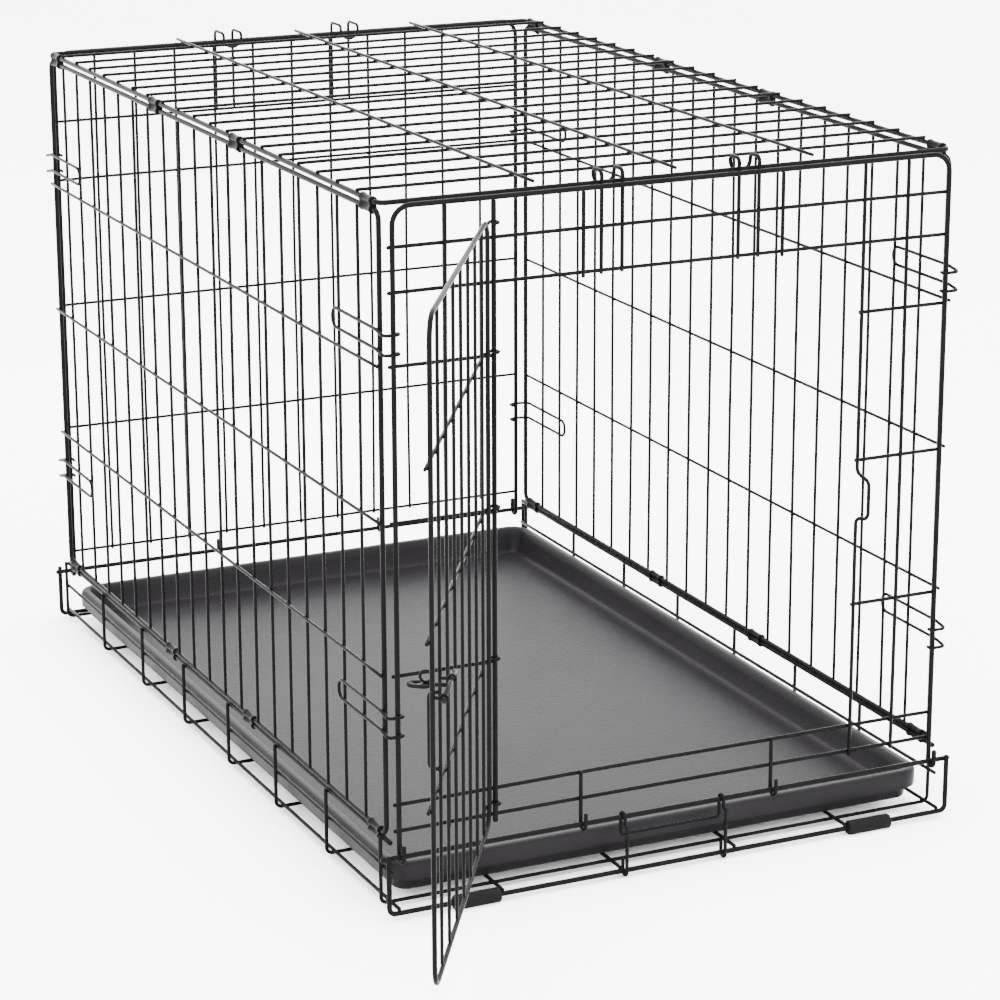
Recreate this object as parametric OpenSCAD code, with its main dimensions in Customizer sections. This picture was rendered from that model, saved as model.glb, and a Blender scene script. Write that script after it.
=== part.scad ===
// Folding wire dog crate, erected, with its front door open.
// X runs across the width, -Y is the door end, Z is up, and the feet stand on z = 0.

/* [Size] */
// Distance between the planes of the front and back panels
crate_length = 768; // [700:1:900]
// Distance between the planes of the side panels
crate_width = 474; // [440:1:560]
// Height of the side panels' top rails, which are the fold's upper pivots
rail_height = 534; // [500:1:600]
// Height of the top panel's own rails above them
top_rise = 6; // [5:0.5:8]
// Height of the side panels' bottom rails, which are the fold's lower pivots
pivot_height = 62; // [55:0.5:66]

/* [Wires] */
// Diameter of the frame wires, rails and posts
frame_wire = 4; // [3.6:0.1:4.2]
// Diameter of the fill wires
fill_wire = 2.6; // [2.2:0.1:2.8]
// Diameter of the floor and hook wires
hook_wire = 3; // [2.6:0.1:3.2]
// Bays along a side panel
side_bays = 20; // [16:1:22]
// Bays across the back panel
back_bays = 12; // [8:1:12]

/* [Door] */
// Angle that the door stands open
door_angle = 122; // [60:1:125]
// Width of the door
door_width = 308; // [290:1:309]
// Height of the door's bottom edge
door_bottom = 64; // [60:0.5:68]
// Height of the door's top edge
door_top = 524; // [510:0.5:527]

/* [Tray] */
// Width of the floor tray over its rim
tray_width = 467; // [400:1:468]
// Length of the floor tray over its rim
tray_length = 750; // [650:1:752]
// Height of the floor tray
tray_height = 26; // [18:0.5:27]
// Wall of the floor tray
tray_wall = 2; // [1.5:0.1:3]

/* [Hidden] */

$fn = 32;
weld = 0.1;                        // how far touching wires sink into each other
frame_r = frame_wire / 2;
fill_r = fill_wire / 2;
hook_r = hook_wire / 2;
side_x = crate_width / 2;          // plane of a side panel's frame
end_y = crate_length / 2;          // plane of an end panel's frame
post_y = end_y - 10;               // a side panel's corner posts
post_x = side_x - 6;               // an end panel's posts
run_gap = 0.06;                    // radial clearance of the running fits

top_rail_z = rail_height + 5;      // an end panel's top rail

// Heights of the crossbars, stepped down from an end panel's top rail
bar_pitch = 117;
bar_heights = [for (i = [3 : -1 : 1]) top_rail_z - i * bar_pitch];

// Side panels
out_x = side_x + frame_r + fill_r - weld;       // layer of the crossbars outside the posts
upright_x = out_x - 2 * fill_r + weld;          // layer of the fill wires
bar_end_y = post_y + frame_r + 1.2;             // crossbar ends stand just past the posts
frame_bend = 7;
side_pitch = 2 * post_y / side_bays;

// Corner loops: one flat hairpin each, welded across three wires
loop_heights = [[153, 15], [442, 14.5]];        // middle height and width
loop_reach = 84;

// Top panel
top_z = rail_height + top_rise;                 // its side rails lie over the side panels' rails
top_wire_z = top_z + frame_r + fill_r - weld;
top_long_z = top_wire_z + 2 * fill_r - weld;
top_long_x = [-116, 0, 116];

// Base
floor_z = 5;
floor_long_z = floor_z + frame_r + hook_r - weld;
floor_cross_z = floor_long_z - 2 * hook_r + weld;
floor_long_x = [-235, -150, -50, 50, 150, 235];
cross_count = 8;
cross_first_y = -end_y + 14;
cross_last_y = end_y - 4;
cross_x = side_x + frame_r + hook_r - weld;     // the turned-up ends stand outside the hinge rail
hinge_rail_z = pivot_height - 2 * frame_r - 0.4;
third_z = 48;
third_y = end_y + 2 * frame_r + 0.1;
end_wire_y = third_y + 2 * frame_r - weld;
third_reach = side_x + 11;
cross_bend = 5;
end_wire_bend = 5;
end_wire_x = side_x + 6;
side_mid_z = 35;
foot_r = 5.8;
foot_crown = 0.6;                  // how far the round sleeve is flattened on each side
foot_length = 38;
foot_x = 171.5;

// Hinge clips
clip_wall = 1.5;
clip_length = 20;
clip_y = [-9.5, -2.5, 2.5, 9.5] * side_pitch;

// Front panel
front_y = -end_y;
front_bar_y = front_y + frame_r + hook_r - 0.3;
front_wire_y = front_bar_y - 2 * hook_r + weld;
panel_foot_z = third_z + 18;                    // lowest crossbar of the front panel
front_bars_full = [top_rail_z - 30, top_rail_z - 63, panel_foot_z + 21, panel_foot_z];
hinge_x = -152;
strike_x = 157;
front_side_x = [-190, 195];
front_short_x = [-80, 86];
front_hook_x = [-54, 60];
hook_width = 17;
hook_top_z = top_long_z + fill_r + 0.5 + hook_r;
hook_in = post_y - frame_r - 4;                 // how near the hook's closed end comes to the middle
jog_top = 299;
jog_bottom = 253;
jog_out = 11;

// Door, drawn closed and then swung open about the hinge wire
eye_r = frame_r + run_gap + fill_r;
door_in_y = -3.4;                               // frame and uprights, from the hinge wire's axis
door_frame_r = 1.8;
door_out_y = door_in_y - door_frame_r - fill_r + weld;
door_bars = [for (z = bar_heights) z + 3.4];
door_eye_z = concat(door_bars, [door_top - 3.4, door_bottom + 12]);
door_pitch = door_width / 8;
bolt_z = 271;
bolt_y = 4.4;
bolt_r = 1.75;
lever_r = 1.6;
bolt_s = [door_pitch * 7 - 16, door_width + 5];
lever_s = door_pitch * 7 + 13;
guide_s = [door_pitch * 7, door_width];

// Back panel
back_y = end_y;
back_bar_y = back_y + frame_r + fill_r - weld;
back_bars = concat([top_rail_z - 63, panel_foot_z + 1], bar_heights);
back_hook_x = [-66, 50];
back_short_x = [-84, 84];

// Tray
tray_z = floor_long_z + hook_r + 0.3;
tray_corner = 20;
tray_lip = 6;                      // width of the turned-down rim, over its wall
skirt_depth = 15;                  // how far the rim hangs down outside

// ---- helpers ----

function unit(v) = v / norm(v);
function side_of(d) = unit(abs(d.z) < 0.9 ? cross(d, [0, 0, 1]) : cross(d, [1, 0, 0]));

// Puts its children in a frame with origin o and unit axes x, y, z
module in_axes(o, x, y, z) {
  multmatrix([[x.x, y.x, z.x, o.x], [x.y, y.y, z.y, o.y], [x.z, y.z, z.z, o.z], [0, 0, 0, 1]]) children();
}

module rod(a, b, r) {
  d = unit(b - a);
  s = side_of(d);
  in_axes(a, s, cross(d, s), d) cylinder(h = norm(b - a), r = r);
}

// Quarter-turn or other bend at p, from direction d1 to d2
module elbow(p, d1, d2, r, bend) {
  phi = acos(d1 * d2);
  n = unit(d2 - d1 * (d1 * d2));
  start = p - d1 * bend * tan(phi / 2);
  in_axes(start + n * bend, -n, d1, cross(-n, d1))
    rotate_extrude(angle = phi) translate([bend, 0]) circle(r);
}

function bend_in(pts, i, bend) =
  (i == 0 || i == len(pts) - 1) ? 0
  : bend * tan(acos(unit(pts[i] - pts[i - 1]) * unit(pts[i + 1] - pts[i])) / 2);

// One bent wire through pts, with the same bend radius at each corner
module wire(pts, r, bend = 6) {
  for (i = [0 : len(pts) - 2]) {
    d = unit(pts[i + 1] - pts[i]);
    rod(pts[i] + d * bend_in(pts, i, bend), pts[i + 1] - d * bend_in(pts, i + 1, bend), r);
  }
  for (i = [1 : 1 : len(pts) - 2])
    elbow(pts[i], unit(pts[i] - pts[i - 1]), unit(pts[i + 1] - pts[i]), r, bend);
}

// A closed rectangle of wire in the plane of axes a and b, with rounded corners
module wire_ring(c, a, b, half_a, half_b, r, bend) {
  for (s = [-1, 1]) {
    rod(c + s * b * half_b - a * (half_a - bend), c + s * b * half_b + a * (half_a - bend), r);
    rod(c + s * a * half_a - b * (half_b - bend), c + s * a * half_a + b * (half_b - bend), r);
    for (t = [-1, 1])
      in_axes(c + s * a * (half_a - bend) + t * b * (half_b - bend), s * a, t * b, cross(s * a, t * b))
        rotate_extrude(angle = 90) translate([bend, 0]) circle(r);
  }
}

// Two round tubes side by side in one strip of sheet, dist apart along x, centred on the origin along z
module clip(dist) {
  bore = frame_r + run_gap;
  difference() {
    union() {
      for (x = [0, dist]) translate([x, 0, -clip_length / 2]) cylinder(h = clip_length, r = bore + clip_wall);
      translate([0, -frame_r, -clip_length / 2]) cube([dist, 2 * frame_r, clip_length]);
    }
    for (x = [0, dist]) translate([x, 0, -clip_length / 2 - 1]) cylinder(h = clip_length + 2, r = bore);
  }
}

// ---- base ----

module base_end_wires() {
  color("#2c2a2e") for (s = [-1, 1])
    wire([[-end_wire_x, s * end_wire_y, third_z + 4], [-end_wire_x, s * end_wire_y, floor_z],
          [end_wire_x, s * end_wire_y, floor_z], [end_wire_x, s * end_wire_y, third_z + 4]],
         frame_r, end_wire_bend);
}

module base_third_rails() {
  color("#2c2a2e") for (s = [-1, 1])
    rod([-third_reach, s * third_y, third_z], [third_reach, s * third_y, third_z], frame_r);
}

module base_cross_wires() {
  pitch = (cross_last_y - cross_first_y) / (cross_count - 1);
  color("#2c2a2e") for (i = [0 : cross_count - 1]) {
    y = cross_first_y + i * pitch;
    rod([cross_bend - cross_x, y, floor_cross_z], [cross_x - cross_bend, y, floor_cross_z], hook_r);
  }
}

// The cross wires' ends, turned up to carry the hinge rails
module base_cross_ends() {
  pitch = (cross_last_y - cross_first_y) / (cross_count - 1);
  color("#2c2a2e") for (i = [0 : cross_count - 1], s = [-1, 1]) {
    y = cross_first_y + i * pitch;
    elbow([s * cross_x, y, floor_cross_z], [s, 0, 0], [0, 0, 1], hook_r, cross_bend);
    rod([s * cross_x, y, floor_cross_z + cross_bend], [s * cross_x, y, hinge_rail_z + 2], hook_r);
  }
}

module base_floor_wires() {
  color("#2c2a2e") for (x = floor_long_x)
    rod([x, -end_wire_y - 1, floor_long_z], [x, end_wire_y + 1, floor_long_z], hook_r);
}

module base_side_wires() {
  x = cross_x - 2 * hook_r + weld;
  color("#2c2a2e") for (s = [-1, 1])
    rod([s * x, -end_y - 1, side_mid_z], [s * x, end_y + 1, side_mid_z], hook_r);
}

module base_hinge_rails() {
  color("#2c2a2e") for (s = [-1, 1])
    rod([s * side_x, 2 - end_y, hinge_rail_z], [s * side_x, end_y - 2, hinge_rail_z], frame_r);
}

module base_clips(s) {
  color("#38363a") for (y = clip_y)
    in_axes([s * side_x, y, pivot_height], [0, 0, -1], [1, 0, 0], [0, -1, 0])
      clip(pivot_height - hinge_rail_z);
}

module base_clips_left() { base_clips(-1); }
module base_clips_right() { base_clips(1); }

module feet(s) {
  color("#3c3c40") for (x = [-foot_x, foot_x])
    difference() {
      intersection() {
        rod([x - foot_length / 2, s * end_wire_y, floor_z],
            [x + foot_length / 2, s * end_wire_y, floor_z], foot_r + foot_crown);
        translate([x - foot_length / 2, s * end_wire_y - foot_r, 0])
          cube([foot_length, 2 * foot_r, floor_z + foot_r]);
      }
      rod([x - foot_length, s * end_wire_y, floor_z], [x + foot_length, s * end_wire_y, floor_z], frame_r);
    }
}

module front_feet() { feet(-1); }
module back_feet() { feet(1); }

// ---- front panel ----

// Shank that turns under the third rail and comes up on the far side
module j_hook_leg(x, s, top, shank_y, r) {
  d = third_y - shank_y;
  rod([x, s * shank_y, third_z], [x, s * shank_y, top], r);
  in_axes([x, s * third_y, third_z], [0, -s, 0], [0, 0, -1], [s, 0, 0])
    rotate_extrude(angle = 180) translate([d, 0]) circle(r);
  rod([x, s * (third_y + d), third_z], [x, s * (third_y + d), third_z + 10], r);
}

module end_frame(s) {
  top_bend = 14;
  for (x = [-post_x, post_x]) j_hook_leg(x, s, top_rail_z - top_bend, end_y, frame_r);
  rod([-post_x + top_bend, s * end_y, top_rail_z], [post_x - top_bend, s * end_y, top_rail_z], frame_r);
  for (t = [-1, 1])
    in_axes([t * (post_x - top_bend), s * end_y, top_rail_z - top_bend], [t, 0, 0], [0, 0, 1], [0, -t, 0])
      rotate_extrude(angle = 90) translate([top_bend, 0]) circle(frame_r);
}

module front_frame() { color("#2c2a2e") end_frame(-1); }

module front_crossbars() {
  reach = post_x + 3;
  color("#2c2a2e") {
    for (z = front_bars_full) rod([-reach, front_bar_y, z], [reach, front_bar_y, z], hook_r);
    for (z = bar_heights) {
      rod([-reach, front_bar_y, z], [hinge_x + 2, front_bar_y, z], hook_r);
      rod([strike_x - 1, front_bar_y, z], [reach, front_bar_y, z], hook_r);
    }
  }
}

module front_uprights() {
  top = top_rail_z - 1.9;
  color("#2c2a2e") {
    for (x = front_side_x) rod([x, front_wire_y, panel_foot_z - 3], [x, front_wire_y, top], hook_r);
    for (x = front_short_x) rod([x, front_wire_y, top_rail_z - 66], [x, front_wire_y, top], hook_r);
  }
}

module front_hinge_wire() {
  color("#2c2a2e")
    rod([hinge_x, front_y, panel_foot_z - 5], [hinge_x, front_y, top_rail_z - frame_r + weld], frame_r);
}

// The step in this wire lets the drawn-back bolt swing past
module front_strike_wire() {
  out = strike_x + jog_out;
  color("#2c2a2e")
    wire([[strike_x, front_wire_y, panel_foot_z - 3], [strike_x, front_wire_y, jog_bottom],
          [out, front_wire_y, jog_bottom], [out, front_wire_y, jog_top], [strike_x, front_wire_y, jog_top],
          [strike_x, front_wire_y, top_rail_z - 1.8]], hook_r, 4);
}

// Hairpin over the top panel's end rail, closed on the inside
module top_hook(x, s, leg_y, leg_bottom, r) {
  bend = 4;
  half = hook_width / 2;
  for (t = [-1, 1]) {
    rod([x + t * half, s * leg_y, leg_bottom], [x + t * half, s * leg_y, hook_top_z - bend], r);
    elbow([x + t * half, s * leg_y, hook_top_z], [0, 0, 1], [0, -s, 0], r, bend);
    rod([x + t * half, s * (leg_y - bend), hook_top_z], [x + t * half, s * hook_in, hook_top_z], r);
    elbow([x + t * half, s * (hook_in - bend), hook_top_z], [0, -s, 0], [0, 0, -1], r, bend);
  }
  in_axes([x, s * (hook_in - bend), hook_top_z - bend], [1, 0, 0], [0, 0, -1], [0, 1, 0])
    rotate_extrude(angle = 180) translate([half, 0]) circle(r);
}

module front_top_hooks() {
  color("#2c2a2e") for (x = front_hook_x)
    top_hook(x, -1, -front_bar_y - 2 * hook_r + weld, front_bars_full[1] - 3, hook_r);
}

module front_bottom_hooks() {
  color("#2c2a2e") for (x = front_short_x) j_hook_leg(x, -1, panel_foot_z + 24, -front_wire_y, hook_r);
}

// ---- door ----

module swung() {
  translate([hinge_x, front_y, 0]) rotate([0, 0, -door_angle]) children();
}

module door_frame() {
  left = 9;
  color("#2c2a2e") swung()
    wire_ring([(left + door_width) / 2, door_in_y, (door_bottom + door_top) / 2], [1, 0, 0], [0, 0, 1],
              (door_width - left) / 2, (door_top - door_bottom) / 2, door_frame_r, 16);
}

module door_uprights() {
  y = door_out_y + 2 * fill_r - weld;
  color("#2c2a2e") swung()
    for (i = [1 : 7])
      rod([i * door_pitch, y, door_bottom + 1.6], [i * door_pitch, y, door_top - 1.6], fill_r);
}

module door_crossbars() {
  color("#2c2a2e") swung()
    for (z = door_bars) rod([12, door_out_y, z], [door_width + 4, door_out_y, z], fill_r);
}

// Wire ends curled round the hinge wire; the top and bottom ones are short stubs
module door_eyes() {
  color("#2c2a2e") swung() for (z = door_eye_z) {
    stub = z > door_top - 10 || z < door_bottom + 20;
    in_axes([0, 0, z], [0, -1, 0], [-1, 0, 0], [0, 0, -1])
      rotate_extrude(angle = 290) translate([eye_r, 0]) circle(fill_r);
    wire([[0, -eye_r, z], [6, -eye_r, z], [6, door_out_y, z], [stub ? 30 : 12, door_out_y, z]], fill_r, 1.5);
  }
}

// Rings on the inside of the door that carry the bolt
module latch_guides() {
  ring = bolt_r + run_gap + 1.5;
  roots = [door_in_y + fill_r - 0.55, door_in_y + door_frame_r - 0.05];
  color("#2c2a2e") swung() for (i = [0, 1]) {
    s = guide_s[i];
    difference() {
      union() {
        rod([s - 3, bolt_y, bolt_z], [s + 3, bolt_y, bolt_z], ring);
        translate([s - 1.4, roots[i], bolt_z - 1.4]) cube([2.8, bolt_y - roots[i], 2.8]);
      }
      rod([s - 4, bolt_y, bolt_z], [s + 4, bolt_y, bolt_z], bolt_r + run_gap);
    }
  }
}

// Staple on the outside of the door, below the bolt's handle
module latch_guard() {
  s = guide_s[0];
  root = door_in_y - 1.85;
  out = door_out_y - 5;
  top = bolt_z - 10;
  bottom = bolt_z - 64;
  color("#2c2a2e") swung()
    wire([[s, root, top], [s, out, top], [s, out, bottom], [s, root, bottom]], fill_r, 4);
}

module latch_bolt() {
  color("#2c2a2e") swung() {
    rod([bolt_s[0], bolt_y, bolt_z], [bolt_s[1], bolt_y, bolt_z], bolt_r);
    rod([lever_s, bolt_y - bolt_r + 0.6, bolt_z], [lever_s, door_out_y - weld, bolt_z], lever_r);
  }
}

// Flat handle with a rounded end and a hole in it
module latch_paddle() {
  root_r = 6.5;
  tip_r = 5.5;
  reach = 6;
  thick = 2.4;
  color("#343236") swung() translate([lever_s, door_out_y - root_r, bolt_z - thick / 2]) difference() {
    union() {
      cylinder(h = thick, r = root_r);
      translate([0, -reach, 0]) cylinder(h = thick, r = tip_r);
      translate([-tip_r, -reach, 0]) cube([2 * tip_r, reach, thick]);
    }
    translate([0, -reach + 1, -1]) cylinder(h = thick + 2, r = 2.6);
  }
}

// ---- side panels ----

module side_frame(s) {
  color("#2c2a2e")
    wire_ring([s * side_x, 0, (rail_height + pivot_height) / 2], [0, 1, 0], [0, 0, 1],
              post_y, (rail_height - pivot_height) / 2, frame_r, frame_bend);
}

module side_uprights(s) {
  color("#2c2a2e") for (i = [1 : side_bays - 1])
    rod([s * upright_x, -post_y + i * side_pitch, pivot_height + frame_r - 0.2],
        [s * upright_x, -post_y + i * side_pitch, rail_height - frame_r + 0.2], fill_r);
}

module side_crossbars(s) {
  color("#2c2a2e") for (z = bar_heights) rod([s * out_x, -bar_end_y, z], [s * out_x, bar_end_y, z], fill_r);
}

module side_loops(s) {
  color("#2c2a2e") for (e = [-1, 1], h = loop_heights)
    wire([[s * out_x, e * bar_end_y, h[0] - h[1] / 2],
          [s * out_x, e * (bar_end_y - loop_reach), h[0] - h[1] / 2],
          [s * out_x, e * (bar_end_y - loop_reach), h[0] + h[1] / 2],
          [s * out_x, e * bar_end_y, h[0] + h[1] / 2]], fill_r, 7);
}

module left_frame() { side_frame(-1); }
module left_uprights() { side_uprights(-1); }
module left_crossbars() { side_crossbars(-1); }
module left_loops() { side_loops(-1); }
module right_frame() { side_frame(1); }
module right_uprights() { side_uprights(1); }
module right_crossbars() { side_crossbars(1); }
module right_loops() { side_loops(1); }

// ---- top panel ----

module top_frame() {
  color("#2c2a2e")
    wire_ring([0, 0, top_z], [0, 1, 0], [1, 0, 0], post_y, side_x, frame_r, frame_bend);
}

module top_cross_wires() {
  reach = side_x + 1.5;
  color("#2c2a2e") for (i = [1 : side_bays - 1])
    rod([-reach, -post_y + i * side_pitch, top_wire_z],
        [reach, -post_y + i * side_pitch, top_wire_z], fill_r);
}

module top_long_wires() {
  color("#2c2a2e") for (x = top_long_x)
    rod([x, -post_y - 1, top_long_z], [x, post_y + 1, top_long_z], fill_r);
}

module top_clips(s) {
  color("#38363a") for (y = clip_y)
    in_axes([s * side_x, y, rail_height], [0, 0, 1], [1, 0, 0], [0, 1, 0]) clip(top_rise);
}

module top_clips_left() { top_clips(-1); }
module top_clips_right() { top_clips(1); }

// ---- back panel ----

module back_frame() { color("#2c2a2e") end_frame(1); }

module back_uprights() {
  pitch = 2 * post_x / back_bays;
  y = back_bar_y - 2 * fill_r + weld;
  color("#2c2a2e") for (i = [1 : back_bays - 1])
    rod([-post_x + i * pitch, y, panel_foot_z - 1],
        [-post_x + i * pitch, y, top_rail_z - frame_r + 0.2], fill_r);
}

module back_crossbars() {
  reach = post_x + 3;
  color("#2c2a2e") for (z = back_bars) rod([-reach, back_bar_y, z], [reach, back_bar_y, z], fill_r);
}

module back_top_hooks() {
  color("#2c2a2e") for (x = back_hook_x) top_hook(x, 1, back_bar_y, back_bars[0] + fill_r - weld, fill_r);
}

module back_bottom_hooks() {
  y = back_bar_y - 2 * fill_r + weld;
  color("#2c2a2e") for (x = back_short_x) j_hook_leg(x, 1, panel_foot_z + 3, y, fill_r);
}

// ---- tray and its stop ----

module rounded_plate(w, l, r, h) {
  linear_extrude(h) union() {
    square([w - 2 * r, l], center = true);
    square([w, l - 2 * r], center = true);
    for (x = [-1, 1], y = [-1, 1]) translate([x * (w / 2 - r), y * (l / 2 - r)]) circle(r);
  }
}

module tray() {
  w = tray_width - 2 * tray_lip;
  l = tray_length - 2 * tray_lip;
  r = tray_corner - tray_lip;
  color("#55525a") translate([0, 0, tray_z]) difference() {
    union() {
      rounded_plate(w, l, r, tray_height);
      translate([0, 0, tray_height - tray_wall])
        rounded_plate(tray_width, tray_length, tray_corner, tray_wall);
      translate([0, 0, tray_height - skirt_depth]) difference() {
        rounded_plate(tray_width, tray_length, tray_corner, skirt_depth);
        translate([0, 0, -1])
          rounded_plate(tray_width - 2 * tray_wall, tray_length - 2 * tray_wall,
                        tray_corner - tray_wall, skirt_depth + 2);
      }
    }
    translate([0, 0, tray_wall])
      rounded_plate(w - 2 * tray_wall, l - 2 * tray_wall, r - tray_wall, tray_height);
  }
}

// One wire: two hooked legs on the front third rail, joined by a bar behind it
module tray_stop() {
  leg_x = [-46, 40];
  r = 1.4;
  eye = frame_r + run_gap + r;
  hook = frame_r + run_gap + r;
  bar_z = third_z - 16;
  front_eye = -third_y - eye;
  front_hook = -end_wire_y - hook;
  color("#2c2a2e") {
    for (x = leg_x) {
      in_axes([x, -third_y, third_z], [0, 1, 0], [0, 0, 1], [1, 0, 0])
        rotate_extrude(angle = 180) translate([eye, 0]) circle(r);
      wire([[x, front_eye, third_z], [x, front_eye, third_z - 6], [x, front_hook, third_z - 6],
            [x, front_hook, floor_z]], r, 1.6);
      in_axes([x, -end_wire_y, floor_z], [0, -1, 0], [0, 0, -1], [1, 0, 0])
        rotate_extrude(angle = 180) translate([hook, 0]) circle(r);
      rod([x, -end_wire_y + hook, floor_z], [x, -end_wire_y + hook, floor_z + 9], r);
    }
    wire([[leg_x[0], -third_y + eye, third_z], [leg_x[0], -third_y + eye, bar_z],
          [leg_x[1], -third_y + eye, bar_z], [leg_x[1], -third_y + eye, third_z]], r, 3);
  }
}

base_end_wires();
base_third_rails();
base_cross_wires();
base_cross_ends();
base_floor_wires();
base_side_wires();
base_hinge_rails();
base_clips_left();
base_clips_right();
front_feet();
back_feet();
front_frame();
front_crossbars();
front_uprights();
front_hinge_wire();
front_strike_wire();
front_top_hooks();
front_bottom_hooks();
door_frame();
door_uprights();
door_crossbars();
door_eyes();
latch_guides();
latch_guard();
latch_bolt();
latch_paddle();
left_frame();
left_uprights();
left_crossbars();
left_loops();
right_frame();
right_uprights();
right_crossbars();
right_loops();
top_frame();
top_cross_wires();
top_long_wires();
top_clips_left();
top_clips_right();
back_frame();
back_uprights();
back_crossbars();
back_top_hooks();
back_bottom_hooks();
tray();
tray_stop();
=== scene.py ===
import math
import random

import bmesh
import bpy
from mathutils import Matrix, Vector


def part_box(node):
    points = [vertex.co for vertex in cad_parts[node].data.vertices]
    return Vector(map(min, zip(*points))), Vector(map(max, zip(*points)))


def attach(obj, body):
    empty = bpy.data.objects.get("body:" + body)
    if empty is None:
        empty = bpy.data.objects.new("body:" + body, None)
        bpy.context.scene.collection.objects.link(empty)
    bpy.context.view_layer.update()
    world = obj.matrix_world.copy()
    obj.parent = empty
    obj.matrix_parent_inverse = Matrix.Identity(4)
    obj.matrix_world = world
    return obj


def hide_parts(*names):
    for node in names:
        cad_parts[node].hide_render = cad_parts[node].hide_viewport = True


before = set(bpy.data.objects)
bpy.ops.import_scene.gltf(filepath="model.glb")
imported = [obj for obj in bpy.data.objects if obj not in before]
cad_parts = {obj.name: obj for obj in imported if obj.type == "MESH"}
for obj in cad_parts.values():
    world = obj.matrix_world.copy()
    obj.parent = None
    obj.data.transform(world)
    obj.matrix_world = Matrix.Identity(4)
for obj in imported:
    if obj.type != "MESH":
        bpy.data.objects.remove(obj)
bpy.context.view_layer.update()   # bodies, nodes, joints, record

MM = 0.001
rng = random.Random(7)


# ---- the CAD's driving sizes, in millimetres ----

WELD = 0.1                    # how far welded wires sink into each other
RUN = 0.06                    # running clearance round a wire
BAR_PITCH = 117               # between crossbars
END_SET_BACK = 4.1            # from the third rail to the end panel that hangs on it
FOOT_RISE = 18                # from the third rail to the end panels' lowest crossbar
TOP_BARS = (30, 63)           # the front's two upper crossbars, below its top rail
FOOT_BAR_GAP = 21             # between the front's two lowest crossbars
SIDE_BAYS = 20                # bays along a side panel


def span(node):
    lo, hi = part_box(node)
    return lo / MM, hi / MM


side_lo, side_hi = span("right_frame")
top_hi = span("top_frame")[1]
wire_r = (side_hi.x - side_lo.x) / 2            # frame wires
side_x = (side_hi.x + side_lo.x) / 2
post_y = side_hi.y - wire_r
rail_z = side_hi.z - wire_r
pivot_z = side_lo.z + wire_r
top_x = top_hi.x - wire_r
top_z = top_hi.z - wire_r
third_lo, third_hi = span("base_third_rails")
third_y = third_hi.y - wire_r
third_z = (third_lo.z + third_hi.z) / 2
third_x = third_hi.x
end_lo, end_hi = span("base_end_wires")
end_wire_y = end_hi.y - wire_r
end_wire_x = end_hi.x - wire_r
floor_z = end_lo.z + wire_r
front_hi = span("front_frame")[1]
end_y = third_y - END_SET_BACK
post_x = front_hi.x - wire_r
top_rail_z = front_hi.z - wire_r
bars_lo, bars_hi = span("back_crossbars")
fill_r = (bars_hi.y - bars_lo.y) / 2            # fill wires
hook_r = 1.5                                    # floor, hook and front panel wires
out_x = span("right_crossbars")[1].x - fill_r
upright_x = out_x - 2 * fill_r + WELD
bar_end_y = span("right_crossbars")[1].y
pitch = 2 * post_y / SIDE_BAYS
bar_z = [top_rail_z - i * BAR_PITCH for i in (3, 2, 1)]
panel_foot_z = third_z + FOOT_RISE              # lowest crossbar of the front panel
long_z = span("top_long_wires")[1].z - fill_r
top_wire_z = span("top_cross_wires")[1].z - fill_r
hook_top_z = span("front_top_hooks")[1].z - hook_r
hinge_x = (span("front_hinge_wire")[0].x + span("front_hinge_wire")[1].x) / 2
front_y = -end_y
front_bar_y = (span("front_crossbars")[0].y + span("front_crossbars")[1].y) / 2
front_wire_y = (span("front_uprights")[0].y + span("front_uprights")[1].y) / 2
door_angle = 122
door_width = 308
DOOR_FRAME_R = 1.8
door_z = (span("door_frame")[0].z + DOOR_FRAME_R, span("door_frame")[1].z - DOOR_FRAME_R)


# ---- materials ----

def nodes_of(name):
    m = bpy.data.materials.new(name)
    m.use_nodes = True
    nt = m.node_tree
    return m, nt, nt.nodes["Principled BSDF"]


def noise(nt, scale, detail=3.0, rough=0.5):
    tc = nt.nodes.new("ShaderNodeTexCoord")
    n = nt.nodes.new("ShaderNodeTexNoise")
    n.inputs["Scale"].default_value = scale
    n.inputs["Detail"].default_value = detail
    n.inputs["Roughness"].default_value = rough
    nt.links.new(tc.outputs["Object"], n.inputs["Vector"])
    return n


def ramp(nt, src, a, b, lo=0.3, hi=0.7):
    r = nt.nodes.new("ShaderNodeMapRange")
    r.inputs["From Min"].default_value = lo
    r.inputs["From Max"].default_value = hi
    r.inputs["To Min"].default_value = a
    r.inputs["To Max"].default_value = b
    nt.links.new(src, r.inputs["Value"])
    return r.outputs["Result"]


def tint(nt, src, dark, light, lo=0.3, hi=0.7):
    c = nt.nodes.new("ShaderNodeValToRGB")
    c.color_ramp.elements[0].position = lo
    c.color_ramp.elements[1].position = hi
    c.color_ramp.elements[0].color = (*dark, 1)
    c.color_ramp.elements[1].color = (*light, 1)
    nt.links.new(src, c.inputs["Fac"])
    return c.outputs["Color"]


def bump(nt, src, strength, distance, normal=None):
    b = nt.nodes.new("ShaderNodeBump")
    b.inputs["Strength"].default_value = strength
    b.inputs["Distance"].default_value = distance
    nt.links.new(src, b.inputs["Height"])
    if normal:
        nt.links.new(normal, b.inputs["Normal"])
    return b.outputs["Normal"]


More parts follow.
